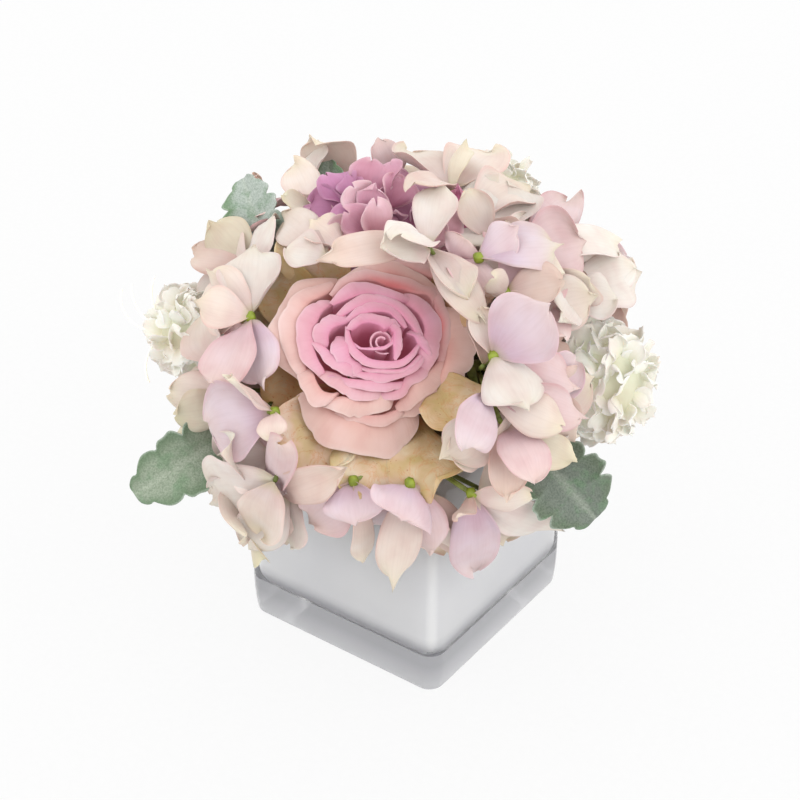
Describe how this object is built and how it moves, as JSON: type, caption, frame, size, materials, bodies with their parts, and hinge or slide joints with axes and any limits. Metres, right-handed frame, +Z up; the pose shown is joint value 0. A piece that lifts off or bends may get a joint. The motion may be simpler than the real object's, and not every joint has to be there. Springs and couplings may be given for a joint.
{
  "type": "flower arrangement in vase",
  "caption": "Low domed arrangement of rose, hydrangea, mauve and white heads and felted leaves in a square clear glass vase with a white lining.",
  "frame": {"origin": "centre of the vase's foot, on the surface that it stands on", "axes": "+Z up; the vase's flat sides face plus and minus X and plus and minus Y; the rose faces the corner between -Y and +X"},
  "size_m": [0.1997, 0.2069, 0.2009],
  "materials": {
    "clear_glass": "clear, polished",
    "white_glass": "opaque white, glossy behind the clear glass",
    "foam": "dark brown, matte",
    "rose_petal": "soft matte petal, mauve pink inside to peach outside",
    "stem": "matte green",
    "hydrangea_petal": "soft matte petal, cream to lavender pink",
    "mauve_petal": "soft matte petal, mauve",
    "white_petal": "soft matte petal, greenish white",
    "felted_leaf": "silvery felted green"
  },
  "bodies": {
    "root": {"vase_clear_glass": "clear_glass", "vase_white_lining": "white_glass", "floral_foam": "foam", "rose_bloom": "rose_petal", "rose_stem": "stem", "hydrangea_left": "hydrangea_petal", "hydrangea_front": "hydrangea_petal", "hydrangea_right": "hydrangea_petal", "hydrangea_top": "hydrangea_petal", "hydrangea_back_left": "hydrangea_petal", "hydrangea_back_right": "hydrangea_petal", "mauve_head": "mauve_petal", "white_head_left": "white_petal", "white_head_right": "white_petal", "white_head_back": "white_petal", "leaf_upper_left": "felted_leaf", "leaf_top": "felted_leaf", "leaf_lower_left": "felted_leaf", "leaf_lower_right": "felted_leaf", "leaf_back_left": "felted_leaf", "leaf_back": "felted_leaf", "leaf_back_right": "felted_leaf"}
  },
  "joints": []
}
